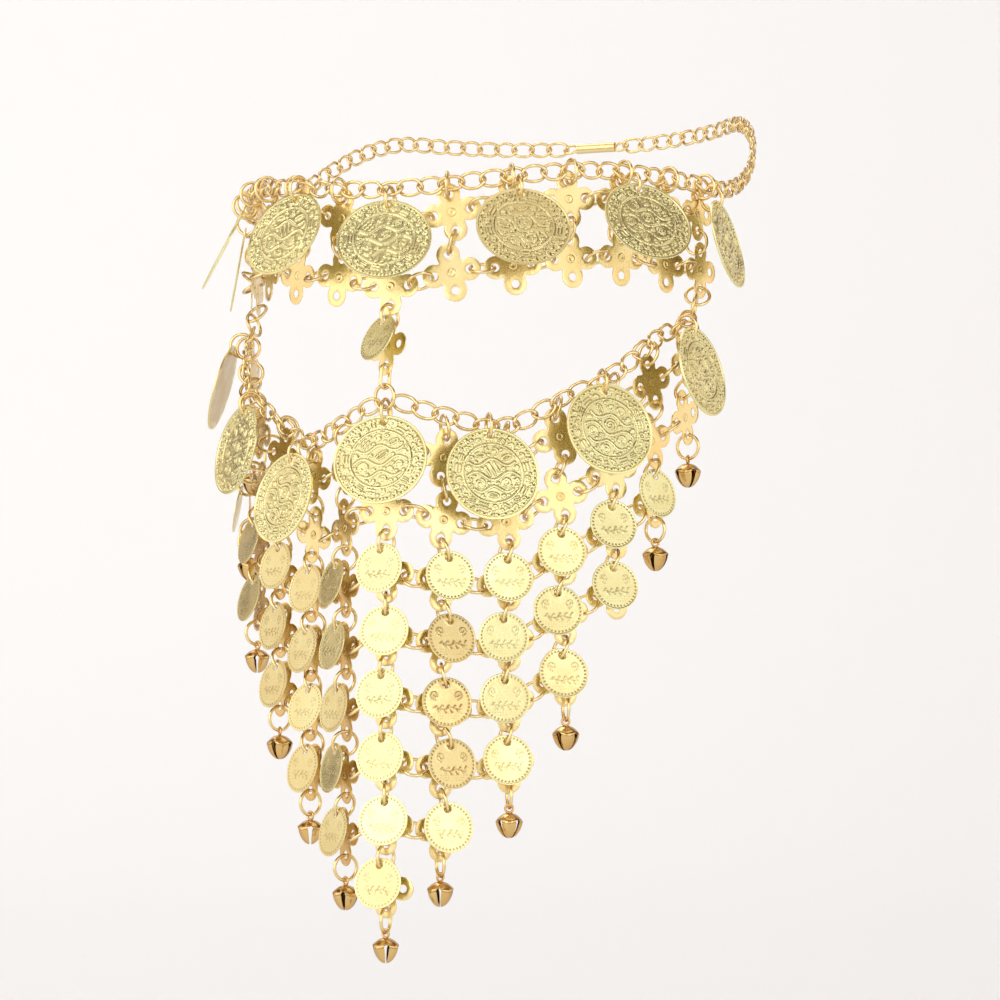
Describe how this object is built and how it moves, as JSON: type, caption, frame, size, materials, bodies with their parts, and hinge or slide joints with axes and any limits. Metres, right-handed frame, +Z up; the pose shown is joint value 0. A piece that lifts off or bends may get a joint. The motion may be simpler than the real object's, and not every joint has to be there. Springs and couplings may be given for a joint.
{
  "type": "coin veil",
  "caption": "Gilt face veil of coins, cross plates and bells on jump rings, hung from a chain that goes round the head.",
  "frame": {"origin": "middle of the head loop, at the height of the chain over the nose, where the middle of the wearer's head lies", "axes": "+Z up, -Y the way the face looks, +X the wearer's left"},
  "size_m": [0.1763, 0.2158, 0.273],
  "materials": {
    "gilt_sheet": "bright pale gilt, stamped",
    "gilt_wire": "warm rose gilt wire, polished",
    "old_gilt": "darker antique gilt, polished"
  },
  "bodies": {
    "root": {"nose_cross": "gilt_sheet", "nose_coin": "gilt_sheet", "band_crosses_upper": "gilt_sheet", "band_crosses_lower": "gilt_sheet", "band_coin_1": "gilt_sheet", "band_coin_2": "gilt_sheet", "band_coin_3": "gilt_sheet", "band_coin_4": "gilt_sheet", "band_coin_5": "gilt_sheet", "band_coin_6": "gilt_sheet", "band_coin_7": "gilt_sheet", "veil_coin_1": "gilt_sheet", "veil_coin_2": "gilt_sheet", "veil_coin_3": "gilt_sheet", "veil_coin_4": "gilt_sheet", "veil_coin_5": "gilt_sheet", "veil_coin_6": "gilt_sheet", "veil_coin_7": "gilt_sheet", "veil_crosses_row_1": "gilt_sheet", "veil_crosses_row_2": "gilt_sheet", "veil_crosses_row_3": "gilt_sheet", "veil_crosses_row_4": "gilt_sheet", "veil_crosses_row_5": "gilt_sheet", "veil_crosses_row_6": "gilt_sheet", "veil_crosses_row_7": "gilt_sheet", "veil_crosses_row_8": "gilt_sheet", "small_coins_row_3": "gilt_sheet", "small_coins_row_4": "gilt_sheet", "small_coins_row_5": "gilt_sheet", "small_coins_row_6": "gilt_sheet", "small_coins_row_7": "gilt_sheet", "small_coins_row_8": "gilt_sheet", "head_chain_front": "gilt_wire", "head_chain_left": "gilt_wire", "head_chain_right": "gilt_wire", "clasp": "gilt_wire", "band_drop_rings": "gilt_wire", "band_side_rings": "gilt_wire", "coin_rings": "gilt_wire", "nose_link": "gilt_wire", "nose_ring": "gilt_wire", "temple_rings": "gilt_wire", "lower_chain_left": "gilt_wire", "lower_chain_right": "gilt_wire", "veil_drop_rings": "gilt_wire", "veil_side_rings": "gilt_wire", "bell_rings": "gilt_wire", "bell_1": "old_gilt", "bell_2": "old_gilt", "bell_3": "old_gilt", "bell_4": "old_gilt", "bell_5": "old_gilt", "bell_6": "old_gilt", "bell_7": "old_gilt", "bell_8": "old_gilt", "bell_9": "old_gilt", "bell_10": "old_gilt", "bell_12": "old_gilt", "bell_13": "old_gilt"}
  },
  "joints": []
}
